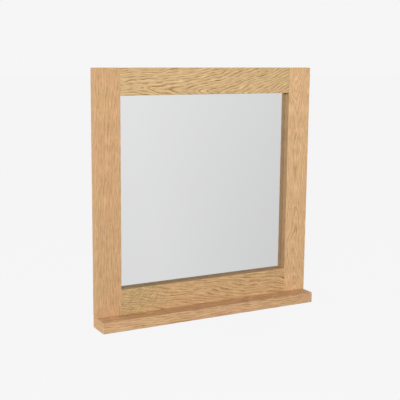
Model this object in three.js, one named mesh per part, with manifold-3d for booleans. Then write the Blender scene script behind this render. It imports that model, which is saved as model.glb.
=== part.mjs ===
// Oak wall mirror with a shelf, in millimetres.
//
// Two stiles and two rails are butted, dowelled and glued, then machined as one frame: the arrises are
// eased and two stepped rebates are routed into the back. The silvered glass lies in the inner rebate, and
// the back board, screwed down in the outer one, holds it there. The frame stands on a shelf as long as
// the frame is wide, which is screwed on from below. It hangs on two keyhole plates let into the stiles.
//
// X runs to the right as seen from the front, Y towards the wall and Z up. The origin lies on the wall,
// midway between the two wall screws that the mirror hangs on.

import * as THREE from "three";
import { mergeVertices, toCreasedNormals } from "three/addons/utils/BufferGeometryUtils.js";
import Module from "manifold-3d";

const wasm = await Module();
wasm.setup();

// Timber
const overallWidth = 580;
const overallHeight = 600;
const frameThickness = 24;
const stileWidth = 62;
const railWidth = 62;
const shelfThickness = 26;
const shelfDepth = 62;
const arrisRadius = 1.2;
const cornerRadius = 2; // where two arrises meet at the frame's and the shelf's outer corners
const glueGap = 0.1;

// Glass, and the inner rebate it lies in
const glassThickness = 4;
const glassLap = 8; // how far the inner rebate runs under the members
const glassPlay = 1.5; // between the glass's edge and the rebate's wall
const glassEdgeBevel = 0.5;
const innerCornerRadius = 5; // left by the router, and cut off the glass's corners
const bedGap = 0.3; // in front of the glass and behind it

// Back board, and the outer rebate it is screwed into
const boardThickness = 3;
const boardInset = 0.3; // how far it lies below the frame's back
const boardLap = 10; // how far the outer rebate runs beyond the inner one
const boardPlay = 1; // between the board's edge and the rebate's wall
const outerCornerRadius = 8;
const seatGap = 0.1; // between two pieces that bear on each other

// Dowels
const dowelDiameter = 10;
const dowelLength = 50;
const dowelChamfer = 1.5;
const dowelFlutes = 12;
const fluteDepth = 0.5;
const dowelEdgeInset = 16; // from a rail's outer edge to its outer dowels
const dowelRebateWall = 3; // of timber between its inner dowels and the inner rebate
const dowelEndGap = 1;

// Screws
const shelfScrew = { shank: 4.5, head: 9, length: 50, tip: 6, recess: 4.6 };
const boardScrew = { shank: 3, head: 6, length: 14, tip: 4, recess: 3.2 };
const hangerScrew = { shank: 3.5, head: 7, length: 16, tip: 4, recess: 3.6 };
const headRim = 0.2; // straight edge of a countersunk head
const headDrop = 0.3; // how far a head lies below its surface
const drillGap = 0.15; // round a screw or a dowel
const recessArm = 0.2; // a cross recess's arm, as a share of its span
const recessBottom = 0.4; // its span at the bottom, as a share of its span at the face
const shelfScrewInset = 22; // from a shelf's end to its outer screw
const innerShelfScrewOffset = 95; // from the middle to the inner screws
const boardScrewCornerInset = 48; // from a corner of the sight opening to the nearest screws
const boardScrewsPerSide = 3;

// Keyhole hanger plates
const hangerDrop = 36; // from the frame's top to the wall screws
const hangerPlateLength = 52;
const hangerPlateWidth = 16;
const hangerPlateThickness = 2;
const hangerPlateGap = 0.3; // between the plate's rim and its recess
const keyholeEntry = 10; // diameter that the wall screw's head goes in through
const keyholeSlot = 5; // width that its shank slides up
const keyholeTravel = 11; // from the entry's centre up to the slot's end centre
const hangerScrewInset = 6.5; // from the plate's ends to its screws
const pocketRoom = 1; // round the wall screw's head, behind the plate
const pocketDepth = 8;

// Fineness of round forms
const turnedSides = 12;
const arcSteps = 8; // in a quarter of a wide arc
const arrisSteps = 3; // in a quarter of a narrow one

const overcut = 1; // how far a cut runs past the face that it starts from
const skim = 0.01; // the same, for a small tapering cut

// Levels and places that follow from the sizes above
const frontFace = -frameThickness;
const frameTop = hangerDrop;
const shelfBottom = frameTop - overallHeight;
const shelfTop = shelfBottom + shelfThickness;
const frameBottom = shelfTop + glueGap;
const sightTop = frameTop - railWidth;
const sightBottom = frameBottom + railWidth;
const sightMiddle = (sightTop + sightBottom) / 2;
const sightHeight = sightTop - sightBottom;
const sightWidth = overallWidth - 2 * stileWidth;
const jointX = sightWidth / 2; // where the rails butt against the stiles
const boardBack = -boardInset;
const boardFront = boardBack - boardThickness;
const boardStep = boardFront - seatGap;
const glassBack = boardStep - bedGap;
const glassFront = glassBack - glassThickness;
const glassStep = glassFront - bedGap;

const oakStile = new THREE.MeshStandardMaterial({ color: 0xd2a97c, roughness: 0.55 });
const oakRail = new THREE.MeshStandardMaterial({ color: 0xcfae7c, roughness: 0.55 });
const oakShelf = new THREE.MeshStandardMaterial({ color: 0xc99f72, roughness: 0.55 });
const beech = new THREE.MeshStandardMaterial({ color: 0xd9b38c, roughness: 0.7 });
const silveredGlass = new THREE.MeshStandardMaterial({ color: 0xe1e4e3, roughness: 0.03, metalness: 1 });
const hardboard = new THREE.MeshStandardMaterial({ color: 0x8a6442, roughness: 0.75 });
const zincPlate = new THREE.MeshStandardMaterial({ color: 0xc3c6c4, roughness: 0.35, metalness: 1 });

// A closed geometry as a solid that can be cut and joined. Triangles that shrink to a line where points
// are merged, as they do on a turned form's axis, are left out.
function solid(geometry) {
  const bare = geometry.clone();
  bare.deleteAttribute("normal");
  bare.deleteAttribute("uv");
  const merged = mergeVertices(bare, 1e-4);
  const corners = merged.index.array;
  const kept = [];
  for (let first = 0; first < corners.length; first += 3) {
    const [a, b, c] = corners.slice(first, first + 3);
    if (a !== b && b !== c && c !== a) kept.push(a, b, c);
  }
  const vertProperties = merged.attributes.position.array;
  const triVerts = new Uint32Array(kept);
  return new wasm.Manifold(new wasm.Mesh({ numProp: 3, vertProperties, triVerts }));
}

// A solid as a named mesh, smooth over its arcs and sharp at its edges
function piece(name, body, material) {
  const { numProp, vertProperties, triVerts } = body.getMesh();
  const points = new THREE.InterleavedBuffer(vertProperties, numProp);
  const geometry = new THREE.BufferGeometry();
  geometry.setAttribute("position", new THREE.InterleavedBufferAttribute(points, 3, 0));
  geometry.setIndex(new THREE.BufferAttribute(triVerts, 1));
  const creaseAngle = Math.PI / 5;
  const mesh = new THREE.Mesh(toCreasedNormals(geometry, creaseAngle), material);
  mesh.name = name;
  return mesh;
}

function cutAt(body, tool, places) {
  return places.reduce((rest, { at }) => rest.subtract(tool.translate(at)), body);
}

function block(fromX, toX, fromY, toY, fromZ, toZ) {
  const geometry = new THREE.BoxGeometry(toX - fromX, toY - fromY, toZ - fromZ);
  geometry.translate((fromX + toX) / 2, (fromY + toY) / 2, (fromZ + toZ) / 2);
  return solid(geometry);
}

function roundedRectangle(width, height, radius) {
  const right = width / 2 - radius;
  const top = height / 2 - radius;
  const quarter = Math.PI / 2;
  const outline = new THREE.Shape();
  outline.absarc(right, -top, radius, -quarter, 0, false);
  outline.absarc(right, top, radius, 0, quarter, false);
  outline.absarc(-right, top, radius, quarter, 2 * quarter, false);
  outline.absarc(-right, -top, radius, 2 * quarter, 3 * quarter, false);
  outline.closePath();
  return outline;
}

// An outline made thick, from height 0 upwards, with its arrises rounded where a radius is given
function board(outline, thickness, { arris = 0, steps = arcSteps } = {}) {
  const geometry = new THREE.ExtrudeGeometry(outline, {
    depth: thickness - 2 * arris,
    bevelEnabled: arris > 0,
    bevelThickness: arris,
    bevelSize: arris,
    bevelOffset: -arris,
    bevelSegments: arrisSteps,
    curveSegments: steps,
  });
  geometry.translate(0, 0, arris);
  return geometry;
}

// The same stood upright, with its outline as seen from the front, from one depth to another
function panel(outline, fromY, toY, centreZ, options) {
  const geometry = board(outline, toY - fromY, options);
  geometry.rotateX(Math.PI / 2);
  geometry.translate(0, toY, centreZ);
  return solid(geometry);
}

// A turned form on the Y axis, from [radius, height] pairs that run upwards
function turned(profile) {
  const points = profile.map(([radius, height]) => new THREE.Vector2(radius, height));
  return solid(new THREE.LatheGeometry(points, turnedSides));
}

// Screws. As drawn, the head's face is at the origin and the point forwards, as they are driven from behind.

function screw({ shank, head, length, tip, recess }) {
  const shankRadius = shank / 2;
  const headRadius = head / 2;
  const coneDepth = headRadius - shankRadius;
  const body = turned([
    [0, -length],
    [shankRadius, -length + tip],
    [shankRadius, -coneDepth - headRim],
    [headRadius, -headRim],
    [headRadius, 0],
    [0, 0],
  ]);
  return body.subtract(crossRecess(recess, coneDepth));
}

// Two crossed slots that narrow towards the bottom
function crossRecess(span, depth) {
  const arm = new THREE.CylinderGeometry(span / 2, (span / 2) * recessBottom, depth, 4, 1);
  arm.rotateY(Math.PI / 4);
  arm.scale(Math.SQRT2, 1, Math.SQRT2 * recessArm);
  arm.translate(0, skim - depth / 2, 0);
  const crossing = arm.clone().rotateY(Math.PI / 2);
  return solid(arm).add(solid(crossing));
}

// The drilled and countersunk hole that a screw goes into, with its head below the surface
function screwHole({ shank, head, length }) {
  const holeRadius = shank / 2 + drillGap;
  const mouthRadius = head / 2 + drillGap;
  const mouthBottom = -headRim - drillGap;
  const mouthTop = headDrop + overcut;
  return turned([
    [0, -length - drillGap],
    [holeRadius, -length - drillGap],
    [holeRadius, mouthBottom - (mouthRadius - holeRadius)],
    [mouthRadius, mouthBottom],
    [mouthRadius, mouthTop],
    [0, mouthTop],
  ]);
}

const shelfScrewPlaces = [
  { name: "shelf_screw_left", x: -overallWidth / 2 + shelfScrewInset },
  { name: "shelf_screw_inner_left", x: -innerShelfScrewOffset },
  { name: "shelf_screw_inner_right", x: innerShelfScrewOffset },
  { name: "shelf_screw_right", x: overallWidth / 2 - shelfScrewInset },
].map(({ name, x }) => ({ name, at: [x, frontFace / 2, shelfBottom + headDrop] }));

const shelfScrewHole = screwHole(shelfScrew).rotate([-90, 0, 0]); // turned to point upwards

// The same number of screws on each side of the back board, in the middle of its lap
const boardScrewPlaces = [];
const lapMiddle = glassLap + boardLap / 2;
const boardScrewY = boardBack - headDrop;
for (let number = 1; number <= boardScrewsPerSide; number++) {
  const along = (2 * (number - 1)) / (boardScrewsPerSide - 1) - 1; // from -1 to 1
  const x = along * (jointX - boardScrewCornerInset);
  const z = sightMiddle - along * (sightHeight / 2 - boardScrewCornerInset);
  boardScrewPlaces.push(
    { name: `board_screw_top_${number}`, at: [x, boardScrewY, sightTop + lapMiddle] },
    { name: `board_screw_bottom_${number}`, at: [x, boardScrewY, sightBottom - lapMiddle] },
    { name: `board_screw_left_${number}`, at: [-jointX - lapMiddle, boardScrewY, z] },
    { name: `board_screw_right_${number}`, at: [jointX + lapMiddle, boardScrewY, z] },
  );
}

// Dowels: fluted pins with chamfered ends, half in the stile and half in the rail

function dowel() {
  const radius = dowelDiameter / 2;
  const points = [];
  for (let step = 0; step < 2 * dowelFlutes; step++) {
    const angle = (step / dowelFlutes) * Math.PI;
    const reach = step % 2 ? radius - fluteDepth : radius;
    points.push(new THREE.Vector2(reach * Math.cos(angle), reach * Math.sin(angle)));
  }
  const geometry = new THREE.ExtrudeGeometry(new THREE.Shape(points), {
    depth: dowelLength - 2 * dowelChamfer,
    bevelThickness: dowelChamfer,
    bevelSize: dowelChamfer / 2,
    bevelOffset: -dowelChamfer / 2,
    bevelSegments: 1,
  });
  geometry.translate(0, 0, dowelChamfer - dowelLength / 2);
  geometry.rotateY(Math.PI / 2);
  return solid(geometry);
}

function dowelHole() {
  const reach = dowelLength / 2 + dowelEndGap;
  const radius = dowelDiameter / 2 + drillGap;
  const hole = turned([
    [0, -reach],
    [radius, -reach],
    [radius, reach],
    [0, reach],
  ]);
  return hole.rotate([0, 0, 90]);
}

const innerDowelInset = glassLap + dowelRebateWall + dowelDiameter / 2; // from the sight edge
const dowelPlaces = [];
for (const [side, x] of [["left", -jointX], ["right", jointX]]) {
  const y = frontFace / 2;
  dowelPlaces.push(
    { name: `top_${side}_upper_dowel`, at: [x, y, frameTop - dowelEdgeInset] },
    { name: `top_${side}_lower_dowel`, at: [x, y, sightTop + innerDowelInset] },
    { name: `bottom_${side}_upper_dowel`, at: [x, y, sightBottom - innerDowelInset] },
    { name: `bottom_${side}_lower_dowel`, at: [x, y, frameBottom + dowelEdgeInset] },
  );
}

// Keyhole hangers: a round-ended plate let in flush, over a deeper pocket for the wall screw's head.
// As drawn, the end of the slot, where the wall screw comes to rest, is at the origin.

const hangerX = jointX + (glassLap + boardLap + stileWidth) / 2; // middle of the stile's flat back
const plateCentre = -keyholeTravel / 2;
const plateBack = -seatGap;
const plateFront = plateBack - hangerPlateThickness;
const hangerScrewReach = hangerPlateLength / 2 - hangerScrewInset;
const hangerScrewPlaces = [
  { name: "upper", at: [0, plateBack - headDrop, plateCentre + hangerScrewReach] },
  { name: "lower", at: [0, plateBack - headDrop, plateCentre - hangerScrewReach] },
];

function roundEnded(width, length) {
  return roundedRectangle(width, length, width / 2);
}

function keyhole() {
  const slotRadius = keyholeSlot / 2;
  const entryRadius = keyholeEntry / 2;
  const up = Math.PI / 2;
  const mouth = Math.asin(slotRadius / entryRadius); // half the angle at which the slot leaves the entry
  const outline = new THREE.Path();
  outline.absarc(0, -plateCentre, slotRadius, 0, 2 * up, false);
  outline.absarc(0, plateCentre, entryRadius, up + mouth, up - mouth + 4 * up, false);
  outline.closePath();
  return outline;
}

function hangerPlate() {
  const outline = roundEnded(hangerPlateWidth, hangerPlateLength);
  outline.holes.push(keyhole());
  const plate = panel(outline, plateFront, plateBack, plateCentre);
  return cutAt(plate, screwHole(hangerScrew), hangerScrewPlaces);
}

// All that is cut out of a stile's back for one hanger, joined so that it is one cut
function hangerCut() {
  const recessFloor = plateFront - seatGap;
  const rim = 2 * hangerPlateGap;
  const recess = roundEnded(hangerPlateWidth + rim, hangerPlateLength + rim);
  const pocketWidth = keyholeEntry + 2 * pocketRoom;
  const pocket = roundEnded(pocketWidth, keyholeTravel + pocketWidth);
  const hole = screwHole(hangerScrew);
  return panel(recess, recessFloor, overcut, plateCentre)
    .add(panel(pocket, recessFloor - pocketDepth, recessFloor + overcut, plateCentre))
    .add(hole.translate(hangerScrewPlaces[0].at))
    .add(hole.translate(hangerScrewPlaces[1].at));
}

// The glued-up frame, with its arrises eased, its rebates routed and its holes drilled

function machinedFrame() {
  const height = frameTop - frameBottom;
  const middle = (frameTop + frameBottom) / 2;
  const outline = roundedRectangle(overallWidth, height, cornerRadius);
  const sight = new THREE.Path();
  sight.moveTo(-jointX, sightBottom - middle);
  sight.lineTo(-jointX, sightTop - middle);
  sight.lineTo(jointX, sightTop - middle);
  sight.lineTo(jointX, sightBottom - middle);
  sight.closePath();
  outline.holes.push(sight);
  const ring = panel(outline, frontFace, 0, middle, { arris: arrisRadius, steps: arrisSteps });

  const innerWidth = sightWidth + 2 * glassLap;
  const innerHeight = sightHeight + 2 * glassLap;
  const inner = roundedRectangle(innerWidth, innerHeight, innerCornerRadius);
  const outer = roundedRectangle(innerWidth + 2 * boardLap, innerHeight + 2 * boardLap, outerCornerRadius);
  const rebated = ring
    .subtract(panel(inner, glassStep, overcut, sightMiddle))
    .subtract(panel(outer, boardStep, overcut, sightMiddle));

  const forDowels = cutAt(rebated, dowelHole(), dowelPlaces);
  const forBoard = cutAt(forDowels, screwHole(boardScrew), boardScrewPlaces);
  const forShelf = cutAt(forBoard, shelfScrewHole, shelfScrewPlaces);
  return cutAt(forShelf, hangerCut(), [{ at: [-hangerX, 0, 0] }, { at: [hangerX, 0, 0] }]);
}

// The frame's members are what lies on each side of the joints

const frame = machinedFrame();
const front = frontFace - overcut;
const back = overcut;
const top = frameTop + overcut;
const bottom = frameBottom - overcut;
const side = overallWidth / 2 + overcut;
const railEnd = jointX - glueGap;

const frameGroup = new THREE.Group();
frameGroup.add(
  piece("left_stile", frame.intersect(block(-side, -jointX, front, back, bottom, top)), oakStile),
  piece("right_stile", frame.intersect(block(jointX, side, front, back, bottom, top)), oakStile),
  piece("top_rail", frame.intersect(block(-railEnd, railEnd, front, back, sightMiddle, top)), oakRail),
  piece("bottom_rail", frame.intersect(block(-railEnd, railEnd, front, back, bottom, sightMiddle)), oakRail),
);
for (const { name, at } of dowelPlaces) {
  const pin = piece(name, dowel(), beech);
  pin.position.set(...at);
  frameGroup.add(pin);
}

// The shelf, drilled and countersunk from below, and its screws

function shelfBoard() {
  const outline = roundedRectangle(overallWidth, shelfDepth, cornerRadius);
  const geometry = board(outline, shelfThickness, { arris: arrisRadius, steps: arrisSteps });
  geometry.translate(0, -shelfDepth / 2, shelfBottom);
  return cutAt(solid(geometry), shelfScrewHole, shelfScrewPlaces);
}

const shelfGroup = new THREE.Group();
shelfGroup.add(piece("shelf", shelfBoard(), oakShelf));
for (const { name, at } of shelfScrewPlaces) {
  const fixing = piece(name, screw(shelfScrew), zincPlate);
  fixing.position.set(...at);
  fixing.rotation.set(-Math.PI / 2, 0, 0);
  shelfGroup.add(fixing);
}

// The glass, with straight-cut corners that clear the rebate's round ones, and the board behind it

function glassPane() {
  const width = sightWidth + 2 * (glassLap - glassPlay);
  const height = sightHeight + 2 * (glassLap - glassPlay);
  const outline = roundedRectangle(width, height, innerCornerRadius);
  return panel(outline, glassFront, glassBack, sightMiddle, { arris: glassEdgeBevel, steps: 1 });
}

function backBoard() {
  const reach = 2 * (glassLap + boardLap - boardPlay);
  const outline = roundedRectangle(sightWidth + reach, sightHeight + reach, outerCornerRadius - boardPlay);
  const sheet = panel(outline, boardFront, boardBack, sightMiddle);
  return cutAt(sheet, screwHole(boardScrew), boardScrewPlaces);
}

const glazingGroup = new THREE.Group();
glazingGroup.add(
  piece("mirror_glass", glassPane(), silveredGlass),
  piece("back_board", backBoard(), hardboard),
);
for (const { name, at } of boardScrewPlaces) {
  const fixing = piece(name, screw(boardScrew), zincPlate);
  fixing.position.set(...at);
  glazingGroup.add(fixing);
}

// A hanger's plate and its two screws

function hanger(name, x) {
  const group = new THREE.Group();
  group.position.set(x, 0, 0);
  group.add(piece(`${name}_hanger_plate`, hangerPlate(), zincPlate));
  for (const place of hangerScrewPlaces) {
    const fixing = piece(`${name}_hanger_screw_${place.name}`, screw(hangerScrew), zincPlate);
    fixing.position.set(...place.at);
    group.add(fixing);
  }
  return group;
}

const mirror = new THREE.Group();
mirror.add(frameGroup, shelfGroup, glazingGroup, hanger("left", -hangerX), hanger("right", hangerX));

export default mirror;
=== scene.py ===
"""The looks of an oak wall mirror with a shelf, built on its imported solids.

Lengths are in metres, in the solids' own frame: X to the right as seen from the front, Y towards the wall,
Z up, and the origin on the wall between the two wall screws.
"""

import math

import bpy
from mathutils import Matrix, Vector


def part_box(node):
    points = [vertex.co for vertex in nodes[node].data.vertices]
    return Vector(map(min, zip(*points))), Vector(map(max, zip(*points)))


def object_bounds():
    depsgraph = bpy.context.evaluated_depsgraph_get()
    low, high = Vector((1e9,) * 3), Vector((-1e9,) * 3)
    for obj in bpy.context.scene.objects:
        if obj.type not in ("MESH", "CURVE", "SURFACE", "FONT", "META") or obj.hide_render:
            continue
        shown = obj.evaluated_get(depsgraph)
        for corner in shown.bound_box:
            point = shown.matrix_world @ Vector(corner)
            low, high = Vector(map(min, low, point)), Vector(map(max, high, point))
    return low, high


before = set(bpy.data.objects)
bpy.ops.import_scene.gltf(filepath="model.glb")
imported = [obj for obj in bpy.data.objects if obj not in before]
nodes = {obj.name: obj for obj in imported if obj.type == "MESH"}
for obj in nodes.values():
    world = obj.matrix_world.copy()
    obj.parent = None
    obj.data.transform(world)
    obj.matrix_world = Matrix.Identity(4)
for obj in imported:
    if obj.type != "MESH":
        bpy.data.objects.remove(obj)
solids_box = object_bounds()


# ---------------------------------------------------------------------------------------------------
# Camera: a slightly long lens, a little above the mirror's top and to its left, turned to face it and
# tipped down. Its place and turn were worked out from the straight edges that the photograph shows.

MM = 0.001
camera_place = Vector((-999.2, -1818.1, 73.3)) * MM
turned_right = math.radians(28.57)
tipped_down = math.radians(9.77)
rolled = math.radians(0.54)

lens = bpy.data.cameras.new("camera")
lens.sensor_width = 36
lens.lens = 77.55
camera = bpy.data.objects.new("camera", lens)
bpy.context.scene.collection.objects.link(camera)
camera.matrix_world = (
    Matrix.Translation(camera_place)
    @ Matrix.Rotation(-turned_right, 4, "Z")
    @ Matrix.Rotation(math.pi / 2 - tipped_down, 4, "X")
    @ Matrix.Rotation(rolled, 4, "Z")
)
bpy.context.scene.camera = camera
bpy.context.scene.view_settings.view_transform = "Standard"


# ---------------------------------------------------------------------------------------------------
# Studio: the mirror hangs well above a pale floor, before a bright backdrop, in a room that is dim in
# front. A large soft box far off to the left lights it, a small near one in front makes the light fall off
# towards its foot, and one stands at each side.

floor_drop = 1.3  # from the shelf to the floor
floor_reach = 60
backdrop_tone = 0.9216  # sRGB 246
floor_giving = 0.4  # how much of its light the floor gives back to the mirror
kept_shading = 0.15  # how much of its own light and shade the floor shows
floor_shading = 0.15  # its own tone where nothing shades it
painted_reflection_tone = 1.0  # painted reflection: the room in front as the mirror shows it, where it is brightest, not the room's light
painted_reflection_from = 0.40  # how far to the right it starts to darken
painted_reflection_fall = 0.726  # how fast it darkens from there
painted_reflection_drop = 0.34  # how fast it darkens towards the floor
room_front = 0.09  # light that comes from the dim room in front
room_behind = 1.05  # and from the backdrop
room_overhead = 0.1  # how much of both is left overhead
backdrop_from = -0.1  # direction, towards the wall, at which the room starts to turn into the backdrop
backdrop_full = 0.5  # and at which the backdrop is at its brightest


def add(tree, kind, inputs=None, **settings):
    """Adds a node. An input is a value, a socket, or a node that stands for its first output."""
    node = tree.nodes.new("ShaderNode" + kind)
    for name, value in settings.items():
        setattr(node, name, value)
    for name, value in (inputs or {}).items():
        if isinstance(value, bpy.types.Node):
            value = value.outputs[0]
        if isinstance(value, bpy.types.NodeSocket):
            tree.links.new(value, node.inputs[name])
        else:
            node.inputs[name].default_value = value
    return node


def bare_material(name):
    """A material with nothing in its node tree yet."""
    material = bpy.data.materials.new(name)
    material.use_nodes = True
    material.node_tree.nodes.clear()
    return material


def backdrop_and_painted_reflection(tree, direction):
    """The backdrop's even tone where the camera looks straight at it. Elsewhere it is a painted reflection:
    the tone of the room that the mirror shows, given to those rays alone and not to the room's light, and
    dimmer to the right and towards the floor."""
    path = add(tree, "LightPath")
    parts = add(tree, "SeparateXYZ", {0: direction})
    right = add(tree, "Math", {0: parts.outputs["X"], 1: painted_reflection_from}, operation="SUBTRACT",
                use_clamp=True)
    down = add(tree, "Math", {0: parts.outputs["Z"], 1: -painted_reflection_drop}, operation="MULTIPLY",
               use_clamp=True)
    dimmer = add(tree, "Math", {0: right, 1: painted_reflection_fall, 2: down}, operation="MULTIPLY_ADD")
    mirrored = add(tree, "Math", {0: 1.0, 1: path.outputs["Is Camera Ray"]}, operation="SUBTRACT")
    change = add(tree, "Math", {0: painted_reflection_tone - backdrop_tone, 1: dimmer}, operation="SUBTRACT")
    return add(tree, "Math", {0: change, 1: mirrored, 2: backdrop_tone}, operation="MULTIPLY_ADD")


def shown_ray(tree):
    """1 for what is looked at, straight, mirrored or through glass, and 0 for what only gives light."""
    scattered = 0.5  # light that a matt face has scattered has a diffuse depth over this
    path = add(tree, "LightPath")
    mirrored = add(tree, "Math", {0: path.outputs["Is Glossy Ray"], 1: path.outputs["Is Transmission Ray"]},
                   operation="MAXIMUM")
    looked_at = add(tree, "Math", {0: path.outputs["Is Camera Ray"], 1: mirrored}, operation="MAXIMUM")
    straight = add(tree, "Math", {0: path.outputs["Diffuse Depth"], 1: scattered}, operation="LESS_THAN")
    return add(tree, "Math", {0: looked_at, 1: straight}, operation="MULTIPLY")


def soft_box(name, left, up, distance, size, level):
    """A square lamp that faces the mirror's middle and stands so many degrees to the left of straight in
    front of it, and above it. level is what the lamp adds to a white surface that faces it."""
    left = math.radians(left)
    up = math.radians(up)
    target = (solids_box[0] + solids_box[1]) / 2
    towards = Vector((-math.sin(left) * math.cos(up), -math.cos(left) * math.cos(up), math.sin(up)))
    lamp = bpy.data.lights.new(name, "AREA")
    lamp.size = size
    lamp.energy = level * math.pi**2 * distance**2  # watts; its light thins with the distance squared
    holder = bpy.data.objects.new(name, lamp)
    bpy.context.scene.collection.objects.link(holder)
    holder.matrix_world = (Matrix.Translation(target + towards * distance)
                           @ towards.to_track_quat("Z", "Y").to_matrix().to_4x4())
    holder.visible_camera = False
    holder.visible_glossy = False


room = bpy.data.worlds.new("room")
room.use_nodes = True
bpy.context.scene.world = room
tree = room.node_tree
tree.nodes.clear()
direction = add(tree, "TexCoord").outputs["Generated"]
parts = add(tree, "SeparateXYZ", {0: direction})
level = add(tree, "MapRange", {"Value": parts.outputs["Y"], "From Min": backdrop_from,
                               "From Max": backdrop_full, "To Min": room_front, "To Max": room_behind},
            interpolation_type="SMOOTHSTEP")
dimming = add(tree, "MapRange", {"Value": parts.outputs["Z"], "From Min": 0.0, "From Max": 1.0,
                                 "To Min": 1.0, "To Max": room_overhead})
light = add(tree, "Math", {0: level, 1: dimming}, operation="MULTIPLY")
# What is looked at, straight or in the mirror, gets the backdrop's tone or the painted reflection; all else
# gets the room's light
tone = add(tree, "Mix", {0: shown_ray(tree), 2: light, 3: backdrop_and_painted_reflection(tree, direction)})
world_shader = add(tree, "Background", {"Color": (1, 1, 1, 1), "Strength": tone})
add(tree, "OutputWorld", {"Surface": world_shader})

floor_mesh = bpy.data.meshes.new("floor")
floor_height = solids_box[0].z - floor_drop
floor_corners = [(-floor_reach, -floor_reach), (floor_reach, -floor_reach),
                 (floor_reach, floor_reach), (-floor_reach, floor_reach)]
floor_mesh.from_pydata([(x, y, floor_height) for x, y in floor_corners], [], [(0, 1, 2, 3)])
floor = bpy.data.objects.new("floor", floor_mesh)
bpy.context.scene.collection.objects.link(floor)

# Matt paint. Where it is looked at straight it takes on the backdrop's even tone, and in the mirror the
# painted reflection's tone, and it keeps a part of its shading.
paint = bare_material("pale_floor_paint")
tree = paint.node_tree
place = add(tree, "TexCoord").outputs["Object"]
direction = add(tree, "VectorMath", {0: place}, operation="NORMALIZE")
matt = add(tree, "BsdfDiffuse", {"Color": (floor_giving, floor_giving, floor_giving, 1)})
unshaded = add(tree, "Math", {0: backdrop_and_painted_reflection(tree, direction), 1: kept_shading * floor_shading},
               operation="SUBTRACT")
evened = add(tree, "Math", {0: unshaded, 1: 1 - kept_shading}, operation="DIVIDE")
glow = add(tree, "Emission", {"Strength": evened})
share = add(tree, "Math", {0: shown_ray(tree), 1: 1 - kept_shading}, operation="MULTIPLY")
add(tree, "OutputMaterial", {"Surface": add(tree, "MixShader", {0: share, 1: matt, 2: glow})})
floor_mesh.materials.append(paint)

soft_box("key_box", left=33, up=18.5, distance=7.0, size=1.3, level=0.71)
soft_box("front_box", left=2, up=24, distance=1.2, size=0.5, level=0.29)
soft_box("side_box", left=106, up=8, distance=2.6, size=0.9, level=0.32)
soft_box("far_side_box", left=-100, up=2, distance=2.6, size=0.9, level=0.35)


# ---------------------------------------------------------------------------------------------------
# Stiles: the frame's two upright members, which run its whole height. European oak, planed, sanded and
# oiled, glued and dowelled to the rails, and rebated at the back for the glass and the back board.

noise_span = 4  # times this, a noise strays by about 1 either way from its mean
noise_low = 0.3  # nearly all of a noise's values lie between these two
noise_high = 0.7


def linear(hex_colour):
    """An sRGB hex colour as linear light."""
    parts = [int(hex_colour[i:i + 2], 16) / 255 for i in (1, 3, 5)]
    return [c / 12.92 if c <= 0.04045 else ((c + 0.055) / 1.055) ** 2.4 for c in parts] + [1.0]


def ring_number(tree, grain, seed, ring_width, spread, bow, wander, rise=0.0, crown=0.0, turn=0.0,
                turn_from=0.0, drift=0.0, sway=3.0, steep=1.0, depth_share=0.9, ripple=0.12, ripple_run=30):
    """Which of the log's yearly rings a point lies in, as a number that grows by 1 every ring_width.
    The pattern is pointed where it crosses the board's middle line, which runs along the grain, slanted by
    drift and swaying by sway. From there the rings fall away across the face by spread, more and more where
    steep is over 1, with a rounded point bow wide, and into the board by depth_share. Along it they rise
    steadily, by rise, or more and more, by crown every 100 mm, and by turn from turn_from on, as they do
    near a knot. wander and ripple shift them, slowly and finely, by so many rings. Lengths are in mm."""
    slow_size = (45, 45, 170)
    fine_size = (7, 7, ripple_run)
    bend_run = 70
    crown_run = 100

    parts = add(tree, "SeparateXYZ", {0: grain})
    across, depth, along = parts.outputs
    slow_place = add(tree, "VectorMath", {0: grain, 1: slow_size}, operation="DIVIDE")
    slow = add(tree, "TexNoise", {"Vector": slow_place, "W": seed, "Scale": 1.0, "Detail": 1.0},
               noise_dimensions="4D")
    fine_place = add(tree, "VectorMath", {0: grain, 1: fine_size}, operation="DIVIDE")
    fine = add(tree, "TexNoise", {"Vector": fine_place, "W": seed, "Scale": 1.0, "Detail": 2.0},
               noise_dimensions="4D")

    # Across the face, from the middle line
    bend_place = add(tree, "Math", {0: along, 1: 1 / bend_run, 2: seed}, operation="MULTIPLY_ADD")
    bend = add(tree, "TexNoise", {"W": bend_place, "Scale": 1.0, "Detail": 1.0}, noise_dimensions="1D")
    most_bent = sway * noise_span / 2
    bend = add(tree, "MapRange", {0: bend, "To Min": -most_bent, "To Max": most_bent})
    shift = add(tree, "Math", {0: along, 1: drift, 2: bend}, operation="MULTIPLY_ADD")
    aside = add(tree, "Math", {0: across, 1: shift}, operation="SUBTRACT")
    square = add(tree, "Math", {0: aside, 1: aside, 2: bow**2}, operation="MULTIPLY_ADD")
    fall = add(tree, "Math", {0: square, 1: steep / 2}, operation="POWER")

    # Along the grain
    bulge = add(tree, "Math", {0: along, 1: crown / crown_run, 2: rise}, operation="MULTIPLY_ADD")
    climb = add(tree, "Math", {0: along, 1: bulge}, operation="MULTIPLY")
    if turn:
        beyond = add(tree, "Math", {0: along, 1: turn_from}, operation="SUBTRACT")
        beyond = add(tree, "Math", {0: beyond, 1: 0.0}, operation="MAXIMUM")
        turned = add(tree, "Math", {0: beyond, 1: beyond}, operation="MULTIPLY")
        climb = add(tree, "Math", {0: turned, 1: turn / crown_run, 2: climb}, operation="MULTIPLY_ADD")

    level = add(tree, "Math", {0: fall, 1: spread, 2: climb}, operation="MULTIPLY_ADD")
    level = add(tree, "Math", {0: depth, 1: depth_share, 2: level}, operation="MULTIPLY_ADD")
    level = add(tree, "Math", {0: level, 1: 1 / ring_width}, operation="MULTIPLY")
    level = add(tree, "Math", {0: slow, 1: wander * noise_span, 2: level}, operation="MULTIPLY_ADD")
    return add(tree, "Math", {0: fine, 1: ripple * noise_span, 2: level}, operation="MULTIPLY_ADD")


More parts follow.
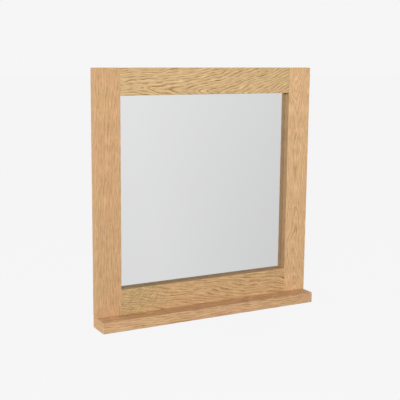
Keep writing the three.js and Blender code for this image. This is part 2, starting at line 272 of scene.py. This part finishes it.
def porous_line(tree, level):
    """How dark each ring is: the porous wood of spring makes a dark line, and that of summer is pale. Some
    years leave a weaker line than others."""
    tones = [(0.0, 0.3), (0.10, 1.0), (0.28, 0.8), (0.42, 0.15), (0.85, 0.0), (1.0, 0.1)]
    weakest_year = 0.45

    year = add(tree, "Math", {0: level}, operation="FLOOR")
    vigour = add(tree, "TexWhiteNoise", {"W": year}, noise_dimensions="1D").outputs["Value"]
    vigour = add(tree, "MapRange", {0: vigour, "To Min": weakest_year, "To Max": 1.0})
    growth = add(tree, "Math", {0: level}, operation="FRACT")
    early = add(tree, "ValToRGB", {0: growth})
    elements = early.color_ramp.elements
    for element, (position, tone) in zip(elements, (tones[0], tones[-1])):
        element.position = position
        element.color = (tone, tone, tone, 1)
    for position, tone in tones[1:-1]:
        elements.new(position).color = (tone, tone, tone, 1)
    return early, add(tree, "Math", {0: early, 1: vigour}, operation="MULTIPLY")


def oak(name, axes, heart, seed, cut, rings, lines, tan, yellow, dark="#9a602e", fibres=0.07, stroke_run=26,
        flecks=0.0, fleck_place=None):
    """Oak with an oiled finish: satin, with a low soft sheen, and dull where the open pores are sunk. axes
    says which of the mirror's axes run across the face, into it and along the grain, and cut how the board
    lay in the log. rings, lines, fibres and flecks are how strong each of these shows. The pattern fills the
    wood, so it goes round each arris and shows as end grain where the wood is cut across."""
    stroke_size = (1.0, 30, stroke_run)  # rings, then millimetres into the board and along it
    stroke_thin = 0.36  # a ring's line is gone where the noise is lower than this
    stroke_full = 0.58
    lines_per_ring = 2.8
    line_size = (1 / lines_per_ring, 40, 34)
    pore_size = (1.3, 1.3, 13)
    pore_edge = 0.52
    pore_middle = 0.68
    pores = 0.45
    late_pores = 0.4  # how strongly they show in the latewood, where the earlywood has 1
    fibre_size = (2.4, 2.4, 24)
    patch_size = (32, 32, 130)
    patch_tan = 0.35
    patch_yellow = 0.65
    patches = 0.6
    fleck_tone = "#caab7c"
    fleck_cover = 0.5  # how much of the rings' lines the flecks hide
    face_roughness = 0.5
    pore_roughness = 0.7
    pore_depth = 0.3 * MM

    wood = bare_material(name)
    tree = wood.node_tree

    # Millimetres from the heart, across the face, into it and along the grain
    place = add(tree, "TexCoord").outputs["Object"]
    offset = add(tree, "VectorMath", {0: place, 1: heart}, operation="SUBTRACT")
    scaled = add(tree, "VectorMath", {0: offset, "Scale": 1 / MM}, operation="SCALE")
    parts = add(tree, "SeparateXYZ", {0: scaled})
    across, depth, along = (parts.outputs[axis] for axis in axes)
    grain = add(tree, "CombineXYZ", {0: across, 1: depth, 2: along})

    # Rings, each drawn in long strokes that follow it, stronger here and weaker there
    level = ring_number(tree, grain, seed, **cut)
    early, ring_dark = porous_line(tree, level)
    along_ring = add(tree, "CombineXYZ", {0: level, 1: depth, 2: along})
    stroke_place = add(tree, "VectorMath", {0: along_ring, 1: stroke_size}, operation="DIVIDE")
    stroke = add(tree, "TexNoise", {"Vector": stroke_place, "Scale": 1.0, "Detail": 2.0})
    broken = add(tree, "MapRange", {0: stroke, "From Min": stroke_thin, "From Max": stroke_full})
    ring_dark = add(tree, "Math", {0: ring_dark, 1: broken}, operation="MULTIPLY")

    # Between the rings' lines are fainter ones, lighter and darker
    line_place = add(tree, "VectorMath", {0: along_ring, 1: line_size}, operation="DIVIDE")
    line = add(tree, "TexNoise", {"Vector": line_place, "Scale": 1.0, "Detail": 1.0})
    lined = add(tree, "MapRange", {0: line, "From Min": noise_low, "From Max": noise_high,
                                   "To Min": 1 - lines, "To Max": 1 + lines})

    # Pores: short dark strokes along the grain, mostly in the earlywood. Real ones are 0.3 mm wide; these
    # are drawn about four times as wide and twice as long, so that they show.
    pore_place = add(tree, "VectorMath", {0: grain, 1: pore_size}, operation="DIVIDE")
    pore = add(tree, "TexNoise", {"Vector": pore_place, "Scale": 1.0, "Detail": 1.0})
    pore_dark = add(tree, "MapRange", {0: pore, "From Min": pore_edge, "From Max": pore_middle})
    pore_share = add(tree, "Math", {0: early, 1: 1 - late_pores, 2: late_pores}, operation="MULTIPLY_ADD")
    pore_shown = add(tree, "Math", {0: pore_dark, 1: pore_share}, operation="MULTIPLY")

    # Fibres: fine streaks, lighter and darker
    fibre_at = add(tree, "VectorMath", {0: grain, 1: fibre_size}, operation="DIVIDE")
    fibre = add(tree, "TexNoise", {"Vector": fibre_at, "Scale": 1.0, "Detail": 2.0})
    streak = add(tree, "MapRange", {0: fibre, "From Min": noise_low, "From Max": noise_high,
                                    "To Min": 1 - fibres, "To Max": 1 + fibres})
    strength = add(tree, "Math", {0: streak, 1: lined}, operation="MULTIPLY")

    # Patches: pinker and yellower wood
    patch_place = add(tree, "VectorMath", {0: grain, 1: patch_size}, operation="DIVIDE")
    patch = add(tree, "TexNoise", {"Vector": patch_place, "W": seed, "Scale": 1.0, "Detail": 2.0},
                noise_dimensions="4D")
    patch_share = add(tree, "MapRange", {0: patch, "From Min": patch_tan, "From Max": patch_yellow,
                                         "To Max": patches})
    body = add(tree, "Mix", {0: patch_share, 6: linear(tan), 7: linear(yellow)}, data_type="RGBA")

    if flecks:
        near, lift = ray_flecks(tree, place, grain, flecks, fleck_place)
        body = add(tree, "Mix", {0: near, 6: body.outputs[2], 7: linear(fleck_tone)}, data_type="RGBA")
        strength = add(tree, "Math", {0: strength, 1: lift}, operation="MULTIPLY")
        uncovered = add(tree, "Math", {0: near, 1: -fleck_cover, 2: 1.0}, operation="MULTIPLY_ADD")
        ring_dark = add(tree, "Math", {0: ring_dark, 1: uncovered}, operation="MULTIPLY")

    streaked = add(tree, "VectorMath", {0: body.outputs[2], "Scale": strength.outputs[0]}, operation="SCALE")
    ring_part = add(tree, "Math", {0: ring_dark, 1: rings}, operation="MULTIPLY")
    darkness = add(tree, "Math", {0: pore_shown, 1: pores, 2: ring_part}, operation="MULTIPLY_ADD")
    colour = add(tree, "Mix", {0: darkness, 6: streaked, 7: linear(dark)}, data_type="RGBA")
    gloss = add(tree, "MapRange", {0: darkness, "To Min": face_roughness, "To Max": pore_roughness})
    relief = add(tree, "Bump", {"Strength": 0.25, "Distance": pore_depth, "Height": pore_shown}, invert=True)
    surface = add(tree, "BsdfPrincipled", {"Base Color": colour.outputs[2], "Roughness": gloss, "IOR": 1.45,
                                           "Specular IOR Level": 0.2, "Normal": relief})
    add(tree, "OutputMaterial", {"Surface": surface})
    return wood


def finish_node(name, material):
    """Gives one solid its material."""
    piece = nodes[name]
    piece.data.materials.clear()
    piece.data.materials.append(material)


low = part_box("left_stile")[0]
left_cut = dict(ring_width=2.1, spread=0.34, bow=2.5, crown=-0.005, drift=0.07, wander=0.6, ripple_run=50)
left_oak = oak("left_stile_oak", "XYZ", heart=(low.x + 0.022, low.y, -0.25), seed=1.0, cut=left_cut,
               rings=0.34, lines=0.1, tan="#d5aa80", yellow="#d2af7e", fibres=0.13, stroke_run=44)
finish_node("left_stile", left_oak)

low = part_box("right_stile")[0]
right_cut = dict(ring_width=3.4, spread=0.1, steep=1.5, bow=2.0, crown=-0.024, drift=-0.02, sway=5.0,
                 wander=1.5, ripple_run=40)
right_oak = oak("right_stile_oak", "XYZ", heart=(low.x + 0.027, low.y, -0.25), seed=2.0, cut=right_cut,
                rings=0.44, lines=0.13, tan="#e3ba8e", yellow="#e0bb88", fibres=0.13, stroke_run=40)
finish_node("right_stile", right_oak)


# ---------------------------------------------------------------------------------------------------
# Rails: the frame's two level members, of the same oak and rebated like the stiles, that lie between them,
# glued and dowelled. The upper one was cut flat from the log and shows long slanted arches. The lower one
# was cut near the log's rays at its left end.

def ray_flecks(tree, place, grain, flecks, fleck_place):
    """Ray flecks: where a board is cut along the log's rays, short shiny strokes lie slantwise across its
    grain. Returns how near to their middle a point lies, and how light or dark the strokes make it."""
    fleck_size = (2.6, 6, 16)
    fleck_slant = math.radians(-42)
    fleck_core = 20 * MM
    fleck_reach = 110 * MM
    beyond = 0.15  # what is left of them past their reach

    slanted = add(tree, "VectorRotate", {"Vector": grain, "Axis": (0, 1, 0), "Angle": fleck_slant})
    fleck_at = add(tree, "VectorMath", {0: slanted, 1: fleck_size}, operation="DIVIDE")
    fleck = add(tree, "TexNoise", {"Vector": fleck_at, "Scale": 1.0, "Detail": 1.0})
    away = add(tree, "VectorMath", {0: place, 1: fleck_place}, operation="DISTANCE")
    near = add(tree, "MapRange", {0: away.outputs["Value"], "From Min": fleck_core, "From Max": fleck_reach,
                                  "To Min": 1.0, "To Max": beyond}, interpolation_type="SMOOTHSTEP")
    shine = add(tree, "MapRange", {0: fleck, "From Min": noise_low, "From Max": noise_high,
                                   "To Min": -flecks, "To Max": flecks})
    return near, add(tree, "Math", {0: shine, 1: near, 2: 1.0}, operation="MULTIPLY_ADD")


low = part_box("top_rail")[0]
top_cut = dict(ring_width=2.4, spread=0.37, bow=2.0, rise=-0.1, crown=-0.016, drift=-0.06, wander=1.2,
               ripple=0.16)
top_oak = oak("top_rail_oak", "ZYX", heart=(0, low.y, low.z + 0.006), seed=3.0, cut=top_cut,
              rings=0.9, lines=0.2, tan="#d8b68b", yellow="#d5b984", dark="#8f642e", stroke_run=22)
finish_node("top_rail", top_oak)

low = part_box("bottom_rail")[0]
bottom_cut = dict(ring_width=2.7, spread=0.38, bow=6.0, rise=0.055, wander=1.2, ripple=0.17, ripple_run=24)
bottom_oak = oak("bottom_rail_oak", "ZYX", heart=(0, low.y, low.z - 0.02), seed=4.0, cut=bottom_cut,
                 rings=0.8, lines=0.18, tan="#d9af84", yellow="#d4b37f", dark="#90622e", stroke_run=36,
                 flecks=0.24, fleck_place=(low.x + 0.035, low.y, low.z + 0.035))
finish_node("bottom_rail", bottom_oak)


# ---------------------------------------------------------------------------------------------------
# Shelf: a thick oak board as long as the frame is wide, flush with it at the back and standing out in
# front. The frame stands on it, held by screws from below. Its grain turns aside near its right end.

low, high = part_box("shelf")
shelf_cut = dict(ring_width=3.2, spread=0.45, bow=8.0, depth_share=0.6, rise=0.02, turn=-0.8,
                 turn_from=(high.x - 0.06) / MM, wander=1.0)
shelf_oak = oak("shelf_oak", "YZX", heart=(0, (low.y + high.y) / 2, high.z), seed=5.0, cut=shelf_cut,
                rings=0.7, lines=0.18, tan="#dbb087", yellow="#d7b383")
finish_node("shelf", shelf_oak)


# ---------------------------------------------------------------------------------------------------
# Dowels: turned and fluted beech pins, glued into both members at each corner of the frame. They are out
# of sight inside the wood. Beech is bare, dull and pink, with a fine even fibre along the pin.

fibres_per_metre = (60, 900, 900)

beech = bare_material("beech")
tree = beech.node_tree
place = add(tree, "TexCoord").outputs["Object"]
stretched = add(tree, "VectorMath", {0: place, 1: fibres_per_metre}, operation="MULTIPLY")
fibre = add(tree, "TexNoise", {"Vector": stretched, "Scale": 1.0, "Detail": 3.0})
colour = add(tree, "Mix", {0: fibre, 6: linear("#caa27a"), 7: linear("#e3c29c")}, data_type="RGBA")
surface = add(tree, "BsdfPrincipled", {"Base Color": colour.outputs[2], "Roughness": 0.7})
add(tree, "OutputMaterial", {"Surface": surface})
for name in nodes:
    if name.endswith("_dowel"):
        finish_node(name, beech)


# ---------------------------------------------------------------------------------------------------
# Mirror glass: float glass, silvered and painted on its back, that lies in the frame's inner rebate. To
# the eye it is flat polished metal, a little less bright than what it shows, with hardly any unevenness.

silver_clouds_per_metre = 3

silver = bare_material("silvered_glass")
tree = silver.node_tree
place = add(tree, "TexCoord").outputs["Object"]
cloud = add(tree, "TexNoise", {"Vector": place, "Scale": silver_clouds_per_metre, "Detail": 1.0})
tint = add(tree, "Mix", {0: cloud, 6: linear("#e4e5e5"), 7: linear("#e6e6e6")}, data_type="RGBA")
surface = add(tree, "BsdfPrincipled", {"Base Color": tint.outputs[2], "Metallic": 1.0, "Roughness": 0.01})
add(tree, "OutputMaterial", {"Surface": surface})
finish_node("mirror_glass", silver)


# ---------------------------------------------------------------------------------------------------
# Back board: thin hardboard, pressed from wood fibres with a smooth brown face, screwed into the rebate
# behind the glass. Its tangled fibres show as a fine mottle, drawn about three times as coarse as they are.

fibre_width = 3 * MM
board_clouds_per_metre = 14
palest = 1.12  # of the clouds, which come from uneven pressing
darkest = 0.88
press_shine = 0.45  # roughness where the press left the face smoothest
press_dull = 0.7

hardboard = bare_material("hardboard")
tree = hardboard.node_tree
place = add(tree, "TexCoord").outputs["Object"]
fibre_at = add(tree, "VectorMath", {0: place, "Scale": 1 / fibre_width}, operation="SCALE")
fibre = add(tree, "TexNoise", {"Vector": fibre_at, "Scale": 1.0, "Detail": 4.0, "Distortion": 1.5})
fibre_tone = add(tree, "MapRange", {0: fibre, "From Min": noise_low, "From Max": noise_high})
mottle = add(tree, "Mix", {0: fibre_tone, 6: linear("#7c5836"), 7: linear("#b28a60")}, data_type="RGBA")
cloud = add(tree, "TexNoise", {"Vector": place, "Scale": board_clouds_per_metre, "Detail": 3.0})
pressed = add(tree, "MapRange", {0: cloud, "From Min": noise_low, "From Max": noise_high,
                                 "To Min": darkest, "To Max": palest})
colour = add(tree, "VectorMath", {0: mottle.outputs[2], "Scale": pressed.outputs[0]}, operation="SCALE")
gloss = add(tree, "MapRange", {0: fibre, "To Min": press_shine, "To Max": press_dull})
relief = add(tree, "Bump", {"Strength": 0.2, "Distance": 0.1 * MM, "Height": fibre})
surface = add(tree, "BsdfPrincipled", {"Base Color": colour, "Roughness": gloss, "Normal": relief})
add(tree, "OutputMaterial", {"Surface": surface})
finish_node("back_board", hardboard)


# ---------------------------------------------------------------------------------------------------
# Screws and hanger plates: steel screws, which hold the shelf, the back board and the plates, and plates
# pressed from steel sheet. The bright zinc plating on both is a cool grey, slightly cloudy, and shinier in
# one spot than in the next.

plating_clouds_per_metre = 220
bright_roughness = 0.25
clouded_roughness = 0.45

zinc = bare_material("zinc_plate")
tree = zinc.node_tree
place = add(tree, "TexCoord").outputs["Object"]
cloud = add(tree, "TexNoise", {"Vector": place, "Scale": plating_clouds_per_metre, "Detail": 3.0})
colour = add(tree, "Mix", {0: cloud, 6: linear("#b4b7b5"), 7: linear("#d2d4cf")}, data_type="RGBA")
gloss = add(tree, "MapRange", {0: cloud, "To Min": bright_roughness, "To Max": clouded_roughness})
surface = add(tree, "BsdfPrincipled", {"Base Color": colour.outputs[2], "Metallic": 1.0, "Roughness": gloss})
add(tree, "OutputMaterial", {"Surface": surface})
for name in nodes:
    if "_screw_" in name or name.endswith("_hanger_plate"):
        finish_node(name, zinc)
